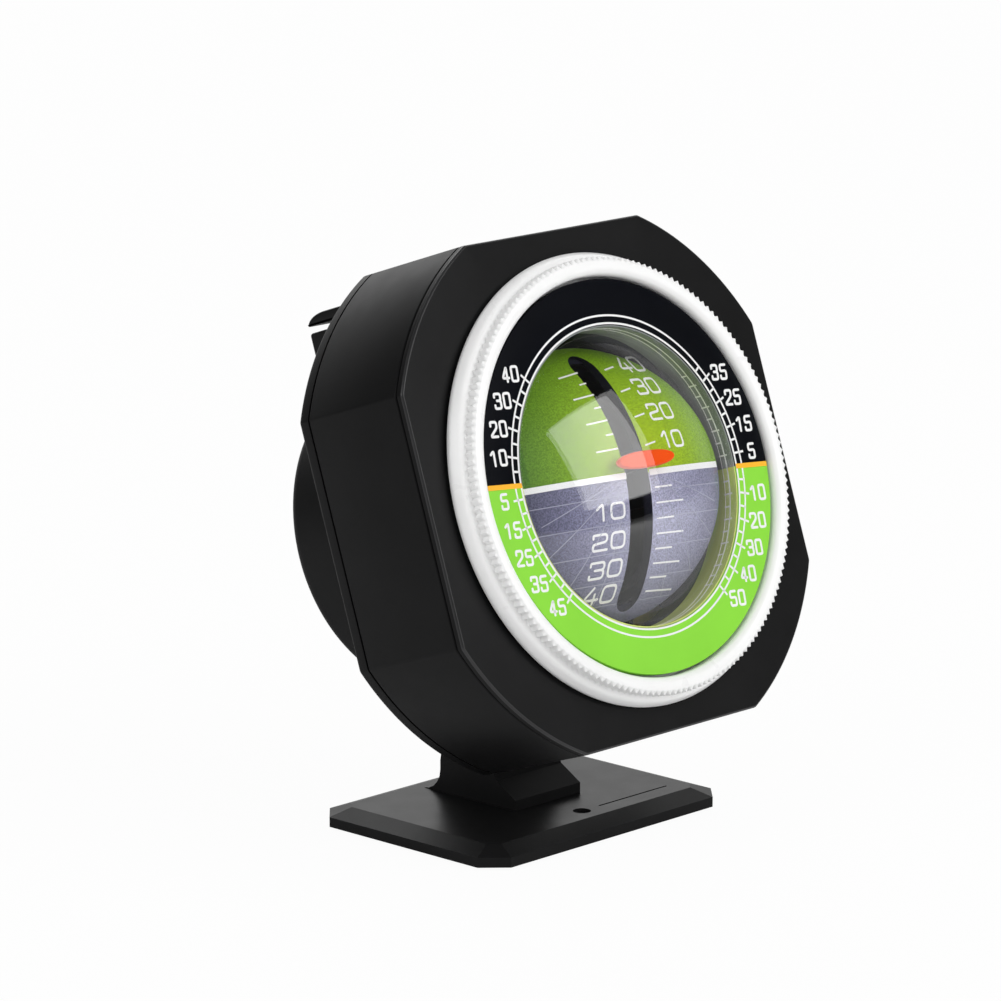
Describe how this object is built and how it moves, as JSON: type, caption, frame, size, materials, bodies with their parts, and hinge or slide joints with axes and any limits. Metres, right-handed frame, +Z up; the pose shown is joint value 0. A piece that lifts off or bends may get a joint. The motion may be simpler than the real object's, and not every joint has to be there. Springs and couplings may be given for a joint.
{
  "type": "dashboard inclinometer",
  "caption": "Dashboard inclinometer: leaning square case with round corners on a small foot, turnable toothed ring with dial and dome, rolling inner dial and pitch pointer.",
  "frame": {"origin": "centre of the adhesive pad's underside, the face that is stuck to the dashboard", "axes": "+Z up, the dial faces -Y and leans back, +X to the right as seen from the back of the vehicle's cabin facing the dial"},
  "size_m": [0.052, 0.046, 0.0621],
  "materials": {
    "pad_foam": "matte",
    "black_plastic": "satin",
    "steel": "satin",
    "brass": "satin",
    "white_plastic": "gloss",
    "dial_lime": "satin",
    "dial_green": "satin",
    "orange_plastic": "satin",
    "clear_plastic": "gloss"
  },
  "bodies": {
    "foot": {"adhesive_pad": "pad_foam", "stand": "black_plastic", "hinge_pin": "steel", "hinge_nut": "steel", "hinge_washer_left": "steel", "hinge_washer_right": "steel"},
    "case": {"case_body": "black_plastic", "face_plate": "black_plastic", "rear_cover": "black_plastic", "rear_can": "black_plastic", "cover_screw_1": "steel", "cover_screw_2": "steel", "cover_screw_3": "steel", "cover_screw_4": "steel", "roll_axle": "steel", "axle_clip": "steel", "clip_block": "black_plastic", "clip_leaf": "black_plastic", "clip_screw": "steel"},
    "ring": {"serrated_ring": "white_plastic", "outer_dial": "dial_lime", "dome_lens": "clear_plastic", "ring_retainer": "black_plastic"},
    "roll_pendulum": {"inner_dial": "dial_green", "roll_frame": "black_plastic", "bearing_bush": "brass", "roll_weight": "brass", "weight_screw": "steel", "dial_screw_left": "steel", "dial_screw_right": "steel", "pitch_pin": "steel"},
    "pitch_pendulum": {"pitch_arm": "black_plastic", "pointer": "orange_plastic", "pitch_weight_left": "brass", "pitch_weight_right": "brass"}
  },
  "joints": [
    {"name": "case_tilt", "type": "hinge", "parent": "foot", "child": "case", "pos_m": [0, 0.0033, 0.01], "axis": [1, 0, 0], "range_deg": [-20, 18]},
    {"name": "ring_turn", "type": "hinge", "parent": "case", "child": "ring", "pos_m": [0, -0.0127, 0.0377], "axis": [0, 0.9461, -0.3239], "continuous": true},
    {"name": "roll_swing", "type": "hinge", "parent": "case", "child": "roll_pendulum", "pos_m": [0, -0.0127, 0.0377], "axis": [0, 0.9461, -0.3239], "range_deg": [-60, 60]},
    {"name": "pitch_swing", "type": "hinge", "parent": "roll_pendulum", "child": "pitch_pendulum", "pos_m": [0, 0.00102, 0.033], "axis": [0.9984, -0.0181, -0.0528], "range_deg": [-37.3, 44.7]}
  ]
}
